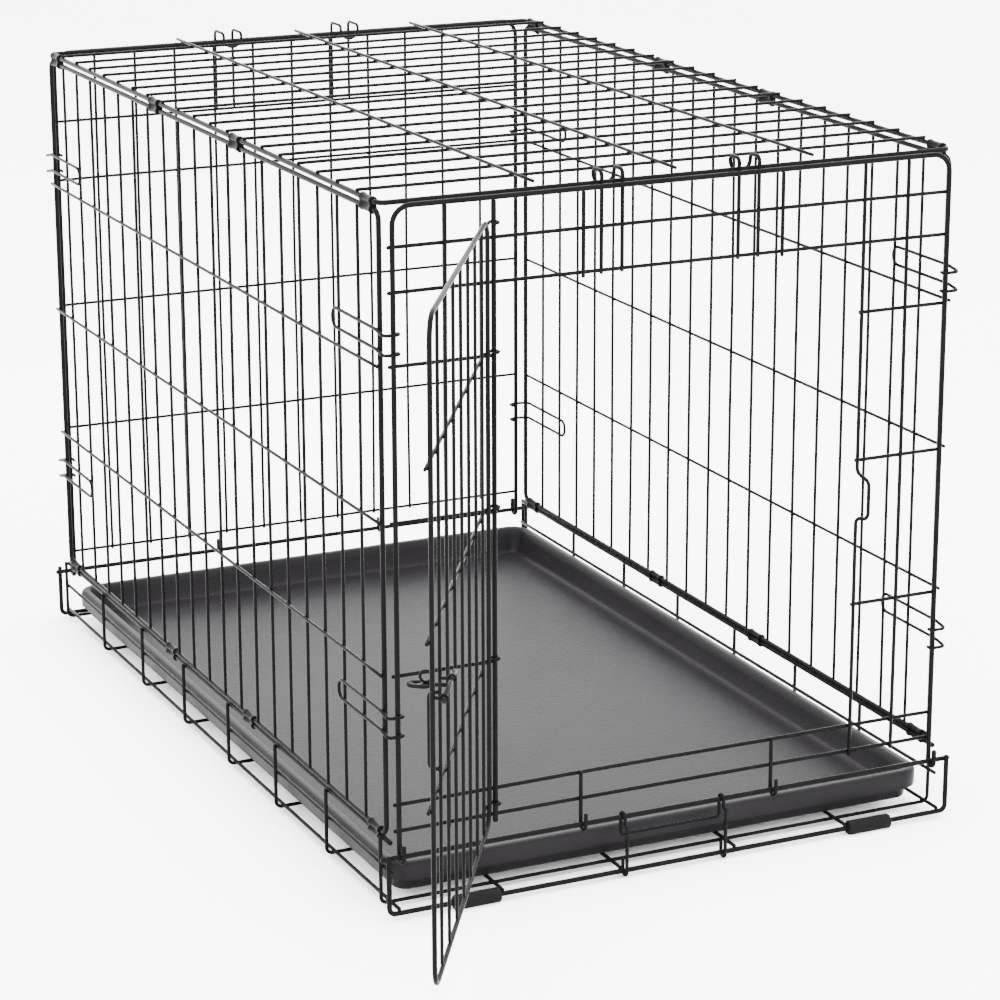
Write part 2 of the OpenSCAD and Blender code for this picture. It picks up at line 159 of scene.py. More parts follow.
def coated_steel(name, dark, light, rough):
    m, nt, p = nodes_of(name)
    broad = noise(nt, 28.0, 4.0, 0.6)
    peel = noise(nt, 900.0, 2.0)
    dust = noise(nt, 240.0, 6.0, 0.7)
    nt.links.new(tint(nt, broad.outputs["Fac"], dark, light), p.inputs["Base Color"])
    nt.links.new(ramp(nt, dust.outputs["Fac"], rough - 0.05, rough + 0.12), p.inputs["Roughness"])
    nt.links.new(bump(nt, peel.outputs["Fac"], 0.12, 0.0002), p.inputs["Normal"])
    p.inputs["IOR"].default_value = 1.3
    p.inputs["Specular IOR Level"].default_value = 0.03
    return m


def moulded_tray():
    m, nt, p = nodes_of("tray_plastic")
    broad = noise(nt, 9.0, 3.0)
    pebble = nt.nodes.new("ShaderNodeTexVoronoi")
    pebble.feature = "SMOOTH_F1"
    pebble.inputs["Scale"].default_value = 420.0
    pebble.inputs["Smoothness"].default_value = 0.6
    tc = nt.nodes.new("ShaderNodeTexCoord")
    nt.links.new(tc.outputs["Object"], pebble.inputs["Vector"])
    fine = noise(nt, 1500.0, 2.0)
    nt.links.new(tint(nt, broad.outputs["Fac"], (0.0049, 0.0043, 0.0051), (0.0066, 0.0059, 0.0069)),
                 p.inputs["Base Color"])
    nt.links.new(ramp(nt, fine.outputs["Fac"], 0.34, 0.46), p.inputs["Roughness"])
    first = bump(nt, pebble.outputs["Distance"], 0.2, 0.0006)
    nt.links.new(bump(nt, fine.outputs["Fac"], 0.15, 0.0002, first), p.inputs["Normal"])
    p.inputs["IOR"].default_value = 1.3
    p.inputs["Specular IOR Level"].default_value = 0.085
    return m


def foot_rubber():
    m, nt, p = nodes_of("foot_rubber")
    broad = noise(nt, 60.0, 4.0)
    fine = noise(nt, 1100.0, 3.0)
    nt.links.new(tint(nt, broad.outputs["Fac"], (0.0016, 0.0016, 0.0018), (0.0026, 0.0026, 0.0030)),
                 p.inputs["Base Color"])
    nt.links.new(ramp(nt, fine.outputs["Fac"], 0.55, 0.78), p.inputs["Roughness"])
    nt.links.new(bump(nt, fine.outputs["Fac"], 0.25, 0.0003), p.inputs["Normal"])
    p.inputs["IOR"].default_value = 1.3
    p.inputs["Specular IOR Level"].default_value = 0.1
    return m


def pale_floor():
    m, nt, p = nodes_of("studio_floor")
    n = noise(nt, 1.5, 2.0)
    nt.links.new(tint(nt, n.outputs["Fac"], (0.90, 0.90, 0.90), (0.93, 0.93, 0.93)), p.inputs["Base Color"])
    p.inputs["Roughness"].default_value = 0.75
    p.inputs["Specular IOR Level"].default_value = 0.15
    return m


WIRE = coated_steel("black_wire", (0.0022, 0.0021, 0.0022), (0.0036, 0.0033, 0.0036), 0.24)
CLIP = coated_steel("clip_steel", (0.0014, 0.0013, 0.0015), (0.0026, 0.0024, 0.0027), 0.3)
LATCH = coated_steel("latch_steel", (0.0024, 0.0023, 0.0025), (0.0040, 0.0038, 0.0042), 0.22)
TRAY = moulded_tray()
RUBBER = foot_rubber()
MATERIAL = {"black_wire": WIRE, "clip_steel": CLIP, "latch_steel": LATCH, "tray_plastic": TRAY,
            "foot_rubber": RUBBER}


# ---- wire making ----

def rounded(pts, bends):
    """Path through pts, its corner i rounded to radius bends[i]; one number rounds them all alike."""
    pts = [Vector(p) for p in pts]
    if not isinstance(bends, (list, tuple)):
        bends = [bends] * (len(pts) - 2)
    out = [pts[0]]
    for i in range(1, len(pts) - 1):
        a, p, b, r = pts[i - 1], pts[i], pts[i + 1], bends[i - 1]
        d1 = (p - a).normalized()
        d2 = (b - p).normalized()
        phi = d1.angle(d2)
        if phi < 1e-3:
            out.append(p)
            continue
        t = r * math.tan(phi / 2)
        n = (d2 - d1 * d1.dot(d2)).normalized()
        c = p - d1 * t + n * r
        steps = max(3, int(phi / math.radians(12)))
        for k in range(steps + 1):
            w = phi * k / steps
            out.append(c - n * r * math.cos(w) + d1 * r * math.sin(w))
    out.append(pts[-1])
    return out


def drawn(path, closed=False):
    """The same path with no double points and a point at least every 40 mm."""
    out = []
    ring = path + [path[0]] if closed else path
    for a, b in zip(ring, ring[1:]):
        gap = (b - a).length
        if gap < 1e-3:
            continue
        n = max(1, int(gap / 40))
        out += [a + (b - a) * (k / n) for k in range(n)]
    if not closed:
        out.append(path[-1])
    return out


def bowed(a, b, across, amount):
    """A straight wire with the slight bow and waver that welded mesh has, true at both ends."""
    a, b, across = Vector(a), Vector(b), Vector(across)
    n = max(4, int((b - a).length / 30))
    lean = rng.uniform(-amount, amount)
    ripple = rng.uniform(-amount, amount) * 0.4
    turns = rng.choice((2, 3, 4))
    return [a + (b - a) * (k / n) + across * (lean * math.sin(math.pi * k / n)
            + ripple * math.sin(turns * math.pi * k / n)) for k in range(n + 1)]


TIP, CHAMFER = 0.62, 0.45     # a cut wire's end: its flat and the rounding's length, in radii
CORNER_STEPS = 8              # in a ring's corner
BEAD_SIDES = 8


class Piece:
    """Wires and other shapes gathered in one mesh."""

    def __init__(self, name, body, nodes, slot):
        self.name, self.body, self.nodes, self.slot = name, body, nodes, slot
        self.bm = bmesh.new()
        self.place = Matrix.Identity(4)

    def put(self, p):
        return self.bm.verts.new((self.place @ Vector(p)) * MM)

    def face(self, verts):
        self.bm.faces.new(verts).smooth = True

    def tube(self, path, r, sides=12, closed=False):
        path = drawn([Vector(p) for p in path], closed)
        n = len(path)
        tangents = []
        for i in range(n):
            a = path[i - 1] if (i or closed) else path[i]
            b = path[(i + 1) % n] if (i < n - 1 or closed) else path[i]
            tangents.append((b - a).normalized())
        t0 = tangents[0]
        side = t0.cross(Vector((0, 0, 1)) if abs(t0.z) < 0.9 else Vector((1, 0, 0))).normalized()
        rings = []
        if closed:
            spec = [(path[i], tangents[i], r) for i in range(n)]
        else:
            tn = tangents[-1]
            spec = [(path[0], t0, r * TIP), (path[0] + t0 * r * CHAMFER, t0, r)]
            spec += [(path[i], tangents[i], r) for i in range(1, n - 1)]
            spec += [(path[-1] - tn * r * CHAMFER, tn, r), (path[-1], tn, r * TIP)]
        for p, t, rad in spec:
            side = (side - t * side.dot(t)).normalized()
            up = t.cross(side)
            rings.append([self.put(p + (side * math.cos(w) + up * math.sin(w)) * rad)
                          for w in [2 * math.pi * k / sides for k in range(sides)]])
        joins = list(zip(rings, rings[1:]))
        if closed:
            # turn the last ring's order so that the seam does not twist
            first, last = rings[0], rings[-1]
            shift = min(range(sides), key=lambda s: (first[s].co - last[0].co).length)
            joins.append((last, first[shift:] + first[:shift]))
        for a, b in joins:
            for k in range(sides):
                self.face([a[k], a[(k + 1) % sides], b[(k + 1) % sides], b[k]])
        if not closed:
            self.face(list(reversed(rings[0])))
            self.face(rings[-1])

    def wire(self, pts, r, bends=0.0):
        self.tube(rounded(pts, bends) if len(pts) > 2 else pts, r)

    def ring(self, c, a, b, half_a, half_b, r, bend):
        c, a, b = Vector(c), Vector(a), Vector(b)
        path = []
        for sa, sb, start in ((1, 1, 0), (-1, 1, 90), (-1, -1, 180), (1, -1, 270)):
            o = c + a * sa * (half_a - bend) + b * sb * (half_b - bend)
            for k in range(CORNER_STEPS + 1):
                w = math.radians(start + k * 90 / CORNER_STEPS)
                path.append(o + (a * math.cos(w) + b * math.sin(w)) * bend)
        self.tube(path, r, closed=True)

    def weld(self, p, r, flat):
        """Small bead of metal squeezed out where two wires cross."""
        p, flat = Vector(p), Vector(flat).normalized()
        u = flat.orthogonal().normalized()
        v = flat.cross(u)
        turn = rng.uniform(0, 6.28)
        size = r * rng.uniform(0.95, 1.15)
        top = self.put(p + flat * r * 0.85)
        low = self.put(p - flat * r * 0.85)
        bands = []
        for h, f in ((0.55, 0.75), (0.0, 1.0), (-0.55, 0.75)):
            ring = []
            for k in range(BEAD_SIDES):
                w = turn + 2 * math.pi * k / BEAD_SIDES
                ring.append(self.put(p + flat * r * h + (u * math.cos(w) + v * math.sin(w)) * size * f))
            bands.append(ring)
        for k in range(BEAD_SIDES):
            j = (k + 1) % BEAD_SIDES
            self.face([top, bands[0][k], bands[0][j]])
            self.face([low, bands[2][j], bands[2][k]])
            for a, b in zip(bands, bands[1:]):
                self.face([a[k], b[k], b[j], a[j]])

    def loft(self, loops, cap=True):
        rings = [[self.put(p) for p in loop] for loop in loops]
        n = len(rings[0])
        for a, b in zip(rings, rings[1:]):
            for k in range(n):
                self.face([a[k], a[(k + 1) % n], b[(k + 1) % n], b[k]])
        if cap:
            self.face(list(reversed(rings[0])))
            self.face(rings[-1])

    def done(self):
        bmesh.ops.recalc_face_normals(self.bm, faces=self.bm.faces)
        mesh = bpy.data.meshes.new(self.name)
        self.bm.to_mesh(mesh)
        self.bm.free()
        o = bpy.data.objects.new(self.name, mesh)
        bpy.context.scene.collection.objects.link(o)
        mesh.materials.append(MATERIAL[self.slot])
        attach(o, self.body)
        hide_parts(*self.nodes)


X, Y, Z = Vector((1, 0, 0)), Vector((0, 1, 0)), Vector((0, 0, 1))


# ---- base ----

p = Piece("base_end_wires_v", "base", ["base_end_wires"], "black_wire")
for s in (-1, 1):
    y = s * end_wire_y
    p.wire([(-end_wire_x, y, third_z + 4), (-end_wire_x, y, floor_z), (end_wire_x, y, floor_z),
            (end_wire_x, y, third_z + 4)], wire_r, 5)
    for t in (-1, 1):
        p.weld((t * end_wire_x, s * (end_wire_y - wire_r), third_z), 1.9, Y)
p.done()

p = Piece("base_third_rails_v", "base", ["base_third_rails"], "black_wire")
for s in (-1, 1):
    p.tube([(-third_x, s * third_y, third_z), (third_x, s * third_y, third_z)], wire_r)
p.done()

cross_lo, cross_hi = span("base_cross_ends")
cross_x = cross_hi.x - hook_r
cross_z = cross_lo.z + hook_r
long_floor_z = cross_z + 2 * hook_r - WELD
cross_y = [-end_y + 14 + i * (2 * end_y - 18) / 7 for i in range(8)]
floor_x = (-235, -150, -50, 50, 150, 235)
SIDE_MID_Z = 35               # the lengthways wire half way up the base's sides
p = Piece("base_cross_wires_v", "base", ["base_cross_wires", "base_cross_ends"], "black_wire")
for y in cross_y:
    top = cross_hi.z
    p.wire([(-cross_x, y, top), (-cross_x, y, cross_z), (cross_x, y, cross_z), (cross_x, y, top)],
           hook_r, 5)
    for x in floor_x:
        p.weld((x, y, cross_z + hook_r), 1.4, Z)
    for s in (-1, 1):
        p.weld((s * (cross_x - hook_r), y, top - 2), 1.5, X)
        p.weld((s * (cross_x - hook_r), y, SIDE_MID_Z), 1.4, X)
p.done()

p = Piece("base_floor_wires_v", "base", ["base_floor_wires"], "black_wire")
for x in floor_x:
    reach = end_wire_y + 1
    p.tube(bowed((x, -reach, long_floor_z), (x, reach, long_floor_z), X, 0.8), hook_r)
    for s in (-1, 1):
        p.weld((x, s * end_wire_y, floor_z + wire_r), 1.5, Z)
p.done()

p = Piece("base_side_wires_v", "base", ["base_side_wires"], "black_wire")
for s in (-1, 1):
    x = s * (cross_x - 2 * hook_r + WELD)
    p.tube([(x, -end_y - 1, SIDE_MID_Z), (x, end_y + 1, SIDE_MID_Z)], hook_r)
p.done()

hinge_z = (span("base_hinge_rails")[0].z + span("base_hinge_rails")[1].z) / 2
p = Piece("base_hinge_rails_v", "base", ["base_hinge_rails"], "black_wire")
for s in (-1, 1):
    p.tube([(s * side_x, 2 - end_y, hinge_z), (s * side_x, end_y - 2, hinge_z)], wire_r)
p.done()


# ---- hinge clips: one strip of sheet wrapped round two wires and pinched between them ----

def clip_outline(dist, r, pinch):
    """Outline round two wires dist apart along the first axis."""
    out = []
    for k in range(13):
        w = math.radians(90 + 180 * k / 12)
        out.append((r * math.cos(w), r * math.sin(w)))
    for f in (0.3, 0.5, 0.7):
        out.append((dist * f, -r + (pinch if f == 0.5 else pinch * 0.6)))
    for k in range(13):
        w = math.radians(-90 + 180 * k / 12)
        out.append((dist + r * math.cos(w), r * math.sin(w)))
    for f in (0.7, 0.5, 0.3):
        out.append((dist * f, r - (pinch if f == 0.5 else pinch * 0.6)))
    return out


clip_y = [f * pitch for f in (-9.5, -2.5, 2.5, 9.5)]
CLIP_HALF = 10                # half a clip's length
CLIP_STEEL = 1.56             # its running clearance and sheet thickness
# along a clip: (place, change of radius, pinch between the two wires)
CLIP_RINGS = ((-1.0, -0.9, 1.0), (-0.99, -0.2, 1.0), (-0.93, 0.0, 1.0), (-0.8, -0.1, 1.2),
              (-0.62, -0.55, 1.5), (-0.2, -0.6, 2.2), (0.2, -0.6, 2.2), (0.62, -0.55, 1.5),
              (0.8, -0.1, 1.2), (0.93, 0.0, 1.0), (0.99, -0.2, 1.0), (1.0, -0.9, 1.0))


def clips(name, body, node, x, z, along, dist, out):
    p = Piece(name, body, [node], "clip_steel")
    r = wire_r + CLIP_STEEL
    for y in clip_y:
        c = Vector((x, y, z))
        p.loft([[c + Y * t * CLIP_HALF + along * u + out * v for u, v in clip_outline(dist, r + k, pinch)]
                for t, k, pinch in CLIP_RINGS])
    p.done()


for s, side in ((-1, "left"), (1, "right")):
    clips("base_clips_%s_v" % side, "base", "base_clips_" + side, s * side_x, pivot_z, -Z,
          pivot_z - hinge_z, s * X)
    clips("top_clips_%s_v" % side, "top", "top_clips_" + side, s * side_x, rail_z, Z,
          top_z - rail_z, s * X)


# ---- feet: rubber sleeves, slightly eight-sided, on the end wires ----

FOOT_X, FOOT_HALF = 171.5, 19
# along a foot: (place, share of the radius)
FOOT_RINGS = ((-1.0, 0.80), (-0.985, 0.92), (-0.94, 1.0), (-0.5, 1.0), (0.0, 1.0), (0.5, 1.0),
              (0.94, 1.0), (0.985, 0.92), (1.0, 0.80))


def feet(node, s):
    lo, hi = span(node)
    p = Piece(node + "_v", "base", [node], "foot_rubber")
    r = (hi.y - lo.y) / 2
    for x in (-FOOT_X, FOOT_X):
        loops = []
        for t, k in FOOT_RINGS:
            loop = []
            for j in range(24):
                w = 2 * math.pi * j / 24
                flat = 1 / max(abs(math.cos(w - q * math.pi / 4)) for q in range(8))
                rad = r * (0.35 + 0.65 * min(flat, 1.06)) * k
                yy = max(-r, min(r, rad * math.sin(w)))
                zz = max(-floor_z, min(r, rad * math.cos(w)))
                loop.append((x + t * FOOT_HALF, s * end_wire_y + yy, floor_z + zz))
            loops.append(loop)
        p.loft(loops)
    p.done()


feet("front_feet", -1)
feet("back_feet", 1)


# ---- end panels ----

HOOK_TIP = 10                 # a J-hook's tip above the third rail
FRAME_BEND = 14               # the end frames' upper corners
HAIRPIN = 8.5                 # half a hairpin hook's width
HAIRPIN_BEND = 4
HAIRPIN_DROP = 12.5           # from its top to its closed end
HOOK_OVER = 8                 # how far it reaches past the top panel's rail


def end_frame(name, body, node, s):
    p = Piece(name, body, [node], "black_wire")
    d = third_y - end_y
    far, low = s * (third_y + d), third_z - d
    near = s * end_y
    leg = [(far, third_z + HOOK_TIP), (far, low), (near, low), (near, top_rail_z)]
    path = rounded([(-post_x, y, z) for y, z in leg] + [(post_x, y, z) for y, z in reversed(leg)],
                   [d, d, FRAME_BEND, FRAME_BEND, d, d])
    p.tube(path, wire_r, 14)
    p.done()


end_frame("front_frame_v", "base", "front_frame", -1)
end_frame("back_frame_v", "back_panel", "back_frame", 1)


def bottom_hooks(name, body, node, xs, s, top, shank, r):
    p = Piece(name, body, [node], "black_wire")
    d = third_y - shank
    for x in xs:
        far, low = s * (third_y + d), third_z - d
        p.wire([(x, far, third_z + HOOK_TIP), (x, far, low), (x, s * shank, low), (x, s * shank, top)], r, d)
    p.done()


def top_hooks(name, body, node, xs, s, leg, low, r):
    p = Piece(name, body, [node], "black_wire")
    h, b, inner = HAIRPIN, HAIRPIN_BEND, s * (post_y - wire_r - HOOK_OVER)
    side = [(s * leg, low), (s * leg, hook_top_z), (inner, hook_top_z), (inner, hook_top_z - HAIRPIN_DROP)]
    for x in xs:
        p.wire([(x - h, y, z) for y, z in side] + [(x + h, y, z) for y, z in reversed(side)],
               r, [b, b, h, h, b, b])
    p.done()


# front
full_z = (top_rail_z - TOP_BARS[0], top_rail_z - TOP_BARS[1], panel_foot_z + FOOT_BAR_GAP, panel_foot_z)
strike_x = 157
full_wires = (-190, 195)      # uprights from foot to top
short_wires = (-80, 86)       # uprights over the door opening
SHORT_LOW = top_rail_z - 66   # where the short uprights and the hairpins end
p = Piece("front_crossbars_v", "base", ["front_crossbars"], "black_wire")
reach = post_x + 3
for z in full_z:
    p.tube(bowed((-reach, front_bar_y, z), (reach, front_bar_y, z), Z, 0.5), hook_r)
for z in bar_z:
    p.tube([(-reach, front_bar_y, z), (hinge_x + 2, front_bar_y, z)], hook_r)
    p.tube([(strike_x - 1, front_bar_y, z), (reach, front_bar_y, z)], hook_r)
mid_y = (front_bar_y + front_wire_y) / 2
for z in list(full_z) + bar_z:
    for x in (*full_wires, hinge_x, strike_x, -post_x, post_x):
        p.weld((x, mid_y, z), 1.5, Y)
p.done()

front_top = top_rail_z - 1.9
p = Piece("front_uprights_v", "base", ["front_uprights"], "black_wire")
for x in full_wires:
    p.tube(bowed((x, front_wire_y, panel_foot_z - 3), (x, front_wire_y, front_top), X, 0.7), hook_r)
for x in short_wires:
    p.tube([(x, front_wire_y, SHORT_LOW), (x, front_wire_y, front_top)], hook_r)
p.done()

p = Piece("front_hinge_wire_v", "base", ["front_hinge_wire"], "black_wire")
p.tube([(hinge_x, front_y, panel_foot_z - 5), (hinge_x, front_y, top_rail_z - wire_r + WELD)], wire_r, 14)
p.done()

p = Piece("front_strike_wire_v", "base", ["front_strike_wire"], "black_wire")
y = front_wire_y
p.wire([(strike_x, y, panel_foot_z - 3), (strike_x, y, 262), (strike_x + 11, y, 253.5),
        (strike_x + 11, y, 287), (strike_x, y, 296), (strike_x, y, front_top)], hook_r, [3.4, 3.8, 8.5, 8.5])
p.done()

top_hooks("front_top_hooks_v", "base", "front_top_hooks", (-54, 60), -1, -front_bar_y - 2 * hook_r + WELD,
          SHORT_LOW, hook_r)
bottom_hooks("front_bottom_hooks_v", "base", "front_bottom_hooks", short_wires, -1, panel_foot_z + 24,
             -front_wire_y, hook_r)

# back
back_bar_y = (bars_lo.y + bars_hi.y) / 2
back_wire_y = back_bar_y - 2 * fill_r + WELD
back_z = [top_rail_z - TOP_BARS[1], panel_foot_z + 1] + bar_z
back_x = [-post_x + i * 2 * post_x / 12 for i in range(1, 12)]
p = Piece("back_uprights_v", "back_panel", ["back_uprights"], "black_wire")
for x in back_x:
    p.tube(bowed((x, back_wire_y, panel_foot_z - 1), (x, back_wire_y, top_rail_z - wire_r + 0.2), X, 1.0),
           fill_r, 10)
p.done()
p = Piece("back_crossbars_v", "back_panel", ["back_crossbars"], "black_wire")
for z in back_z:
    p.tube(bowed((-reach, back_bar_y, z), (reach, back_bar_y, z), Z, 0.6), fill_r, 10)
    for x in back_x + [-post_x, post_x]:
        p.weld((x, (back_bar_y + back_wire_y) / 2, z), 1.3, Y)
p.done()
top_hooks("back_top_hooks_v", "back_panel", "back_top_hooks", (-66, 50), 1, back_bar_y, top_rail_z - 61.8,
          fill_r)
bottom_hooks("back_bottom_hooks_v", "back_panel", "back_bottom_hooks", (-84, 84), 1, panel_foot_z + 3,
             back_wire_y, fill_r)


# ---- side panels ----

LOOPS = ((153, 15), (442, 14.5))      # the corner loops' heights and widths
LOOP_REACH = 84                       # how far they run along the side
# so much lower, their bent ends clear the end panels' wires once the side panel lies flat
DROP_FRONT, DROP_BACK = 2.4, 3.8


def side_panel(side, s):
    body = side + "_side"
    p = Piece(side + "_frame_v", body, [side + "_frame"], "black_wire")
    p.ring((s * side_x, 0, (rail_z + pivot_z) / 2), Y, Z, post_y, (rail_z - pivot_z) / 2, wire_r, 7)
    p.done()
    ys = [-post_y + i * pitch for i in range(1, 20)]
    p = Piece(side + "_uprights_v", body, [side + "_uprights"], "black_wire")
    for y in ys:
        x = s * upright_x
        p.tube(bowed((x, y, pivot_z + wire_r - 0.2), (x, y, rail_z - wire_r + 0.2), Y, 0.9), fill_r, 10)
        for z, t in ((pivot_z, 1), (rail_z, -1)):
            p.weld((x, y, z + t * (wire_r + 0.2)), 1.4, Z)
    p.done()
    p = Piece(side + "_crossbars_v", body, [side + "_crossbars"], "black_wire")
    for z in bar_z:
        p.tube(bowed((s * out_x, -bar_end_y, z), (s * out_x, bar_end_y, z), Z, 0.7), fill_r, 10)
        for y in ys + [-post_y, post_y]:
            p.weld((s * (out_x + upright_x) / 2, y, z), 1.3, X)
    p.done()
    # hairpins whose ends curl round the end panel's post
    p = Piece(side + "_loops_v", body, [side + "_loops"], "black_wire")
    tip_x = post_x - wire_r - fill_r - 0.3
    for e, tip_drop in ((-1, DROP_FRONT), (1, DROP_BACK)):
        wrap_y = (bars_hi.y if e > 0 else end_y + wire_r) + fill_r + 0.25
        for z, w in LOOPS:
            back = bar_end_y - LOOP_REACH
            a, b = z - w / 2, z + w / 2
            x = s * out_x
            ends = []
            for h in (a, b):
                low = h - tip_drop
                ends.append([(s * tip_x, e * (end_y - 1.5), low), (s * tip_x, e * wrap_y, low),
                             (x, e * wrap_y, low), (x, e * (bar_end_y - 4), h)])
            pts = ends[0] + [(x, e * back, a), (x, e * back, b)] + list(reversed(ends[1]))
            p.wire(pts, fill_r, [2.6, 3.4, 12, 7, 7, 12, 3.4, 2.6])
            for h in (a, b):
                p.weld((s * (out_x - fill_r), e * post_y, h), 1.3, X)
    p.done()


side_panel("left", -1)
side_panel("right", 1)


# ---- top panel ----

p = Piece("top_frame_v", "top", ["top_frame"], "black_wire")
p.ring((0, 0, top_z), Y, X, post_y, top_x, wire_r, 7)
p.done()
top_ys = [-post_y + i * pitch for i in range(1, 20)]
top_xs = (-116, 0, 116)
p = Piece("top_cross_wires_v", "top", ["top_cross_wires"], "black_wire")
reach = top_x + 1.5
for y in top_ys:
    p.tube(bowed((-reach, y, top_wire_z), (reach, y, top_wire_z), Y, 0.8), fill_r, 10)
    for x in (-top_x, top_x):
        p.weld((x, y, top_z + wire_r), 1.4, Z)
p.done()
p = Piece("top_long_wires_v", "top", ["top_long_wires"], "black_wire")
for x in top_xs:
    p.tube(bowed((x, -post_y - 1, long_z), (x, post_y + 1, long_z), X, 0.8), fill_r, 10)
    for y in top_ys:
        p.weld((x, y, (long_z + top_wire_z) / 2), 1.3, Z)
p.done()


# ---- door and latch, in the door's own frame: x along the door, -y outward when shut ----

SWUNG = Matrix.Translation((hinge_x, front_y, 0)) @ Matrix.Rotation(math.radians(-door_angle), 4, "Z")
in_y, frame_r = -3.4, DOOR_FRAME_R
near_x = 9                    # the frame's hinge side
out_y = in_y - frame_r - fill_r + WELD
mid_z = (door_z[0] + door_z[1]) / 2
BAR_LIFT = 3.4                # the door's crossbars over the front panel's
DOOR_BAYS = 8
door_bars = [z + BAR_LIFT for z in bar_z]
door_pitch = door_width / DOOR_BAYS


def door_piece(name, nodes, slot="black_wire", body="door"):
    """A piece drawn in the door's own frame."""
    p = Piece(name, body, nodes, slot)
    p.place = SWUNG
    return p


p = door_piece("door_frame_v", ["door_frame"])
p.ring(((near_x + door_width) / 2, in_y, mid_z), X, Z, (door_width - near_x) / 2,
       (door_z[1] - door_z[0]) / 2, frame_r, 16)
p.done()

door_wire_y = out_y + 2 * fill_r - WELD
p = door_piece("door_uprights_v", ["door_uprights"])
for i in range(1, DOOR_BAYS):
    x = i * door_pitch
    p.tube(bowed((x, door_wire_y, door_z[0] + 1.6), (x, door_wire_y, door_z[1] - 1.6), X, 0.8), fill_r, 10)
p.done()

p = door_piece("door_crossbars_v", ["door_crossbars", "door_eyes"])
eye = wire_r + RUN + fill_r
for z in door_bars + [door_z[1] - BAR_LIFT, door_z[0] + 12]:
    stub = z not in door_bars
    curl = []
    for k in range(25):
        w = math.radians(285 * (1 - k / 24))
        curl.append((-eye * math.sin(w), -eye * math.cos(w), z))
    end_x = 30 if stub else door_width + 4
    tail = rounded([(0, -eye, z), (6, -eye, z), (near_x, out_y, z), (end_x, out_y, z)], 2.5)
    p.tube(curl + tail[1:], fill_r, 12)
    if not stub:
        for i in range(1, DOOR_BAYS):
            p.weld((i * door_pitch, (out_y + door_wire_y) / 2, z), 1.3, Y)
    p.weld((near_x, out_y + 1.4, z), 1.4, Y)
    if not stub:
        p.weld((door_width, out_y + 1.4, z), 1.4, Y)
p.done()

bolt_z, bolt_y, bolt_r = 271, 4.4, 1.75
last_x = door_pitch * (DOOR_BAYS - 1)           # the last upright before the latch
guide_x = (last_x, door_width)
lever_x = last_x + 13
p = door_piece("latch_guides_v", ["latch_guides"])
r = 0.75
turn = bolt_r + RUN + r
for x in guide_x:
    path = []
    # two turns of wire round the bolt, with both ends run to the upright and welded
    for k in range(49):
        w = math.radians(-90 + 720 * k / 48)
        path.append((x - 1.2 + 2.4 * k / 48, bolt_y + turn * math.sin(w), bolt_z + turn * math.cos(w)))
    p.tube(path, r, 8)
    for t in (-1, 1):
        p.tube([(x + t * 1.2, bolt_y - turn, bolt_z), (x + t * 1.2, in_y + 0.8, bolt_z)], r, 8)
p.done()

p = door_piece("latch_guard_v", ["latch_guard"])
guard_z = (bolt_z - 10, bolt_z - 64)
guard_y = (in_y - 1.85, out_y - 5)
p.wire([(last_x, guard_y[0], guard_z[0]), (last_x, guard_y[1], guard_z[0]),
        (last_x, guard_y[1], guard_z[1]), (last_x, guard_y[0], guard_z[1])], fill_r, 4)
for z in guard_z:
    p.weld((last_x, in_y - 1.9, z), 1.5, Y)
p.done()

p = door_piece("latch_bolt_v", ["latch_bolt"], "latch_steel", "latch")
p.tube([(last_x - 16, bolt_y, bolt_z), (door_width + 5, bolt_y, bolt_z)], bolt_r, 14)
p.tube([(lever_x, bolt_y, bolt_z), (lever_x, out_y - 0.5, bolt_z)], 1.5, 12)
p.done()


def link(root_r, tip_r, root_y, tip_y, z):
    """Outline of a tab with two round ends."""
    out = []
    for k in range(17):
        w = math.radians(180 - 180 * k / 16)
        out.append((lever_x + root_r * math.cos(w), root_y + root_r * math.sin(w), z))
    for k in range(17):
        w = math.radians(-180 * k / 16)
        out.append((lever_x + tip_r * math.cos(w), tip_y + tip_r * math.sin(w), z))
    return out


p = door_piece("latch_paddle_v", ["latch_paddle"], "latch_steel", "latch")
root_y, tip_y = out_y - 6.5, out_y - 12.5
rings = []
for dz, grow in ((-1.2, -0.7), (-0.95, -0.15), (-0.4, 0), (0.4, 0), (0.95, -0.15), (1.2, -0.7)):
    rings.append(link(6.5 + grow, 5.5 + grow, root_y, tip_y, bolt_z + dz))
for dz, grow in ((1.2, 0.5), (0.8, 0), (-0.8, 0), (-1.2, 0.5)):
    rings.append(link(1.7 + grow, 2.3 + grow, root_y - 3.5, tip_y + 1, bolt_z + dz))
p.loft(rings + [rings[0]], cap=False)
bmesh.ops.remove_doubles(p.bm, verts=p.bm.verts, dist=1e-7)
# the ring that a finger pulls to lift the handle
p.ring((lever_x, out_y - 4.9, bolt_z + 5.6), Y, Z, 3.8, 3.8, 1.0, 3.79)
p.done()


# ---- tray ----

def rounded_rect(half_x, half_y, r, z):
    out = []
    for sx, sy, start in ((1, 1, 0), (-1, 1, 90), (-1, -1, 180), (1, -1, 270)):
        for k in range(11):
            w = math.radians(start + 9 * k)
            out.append((sx * (half_x - r) + r * math.cos(w), sy * (half_y - r) + r * math.sin(w), z))
    return out


tray_lo, tray_hi = span("tray")
tx, ty = tray_hi.x, tray_hi.y
z0, z1 = tray_lo.z, tray_hi.z
p = Piece("tray_v", "tray", ["tray"], "tray_plastic")
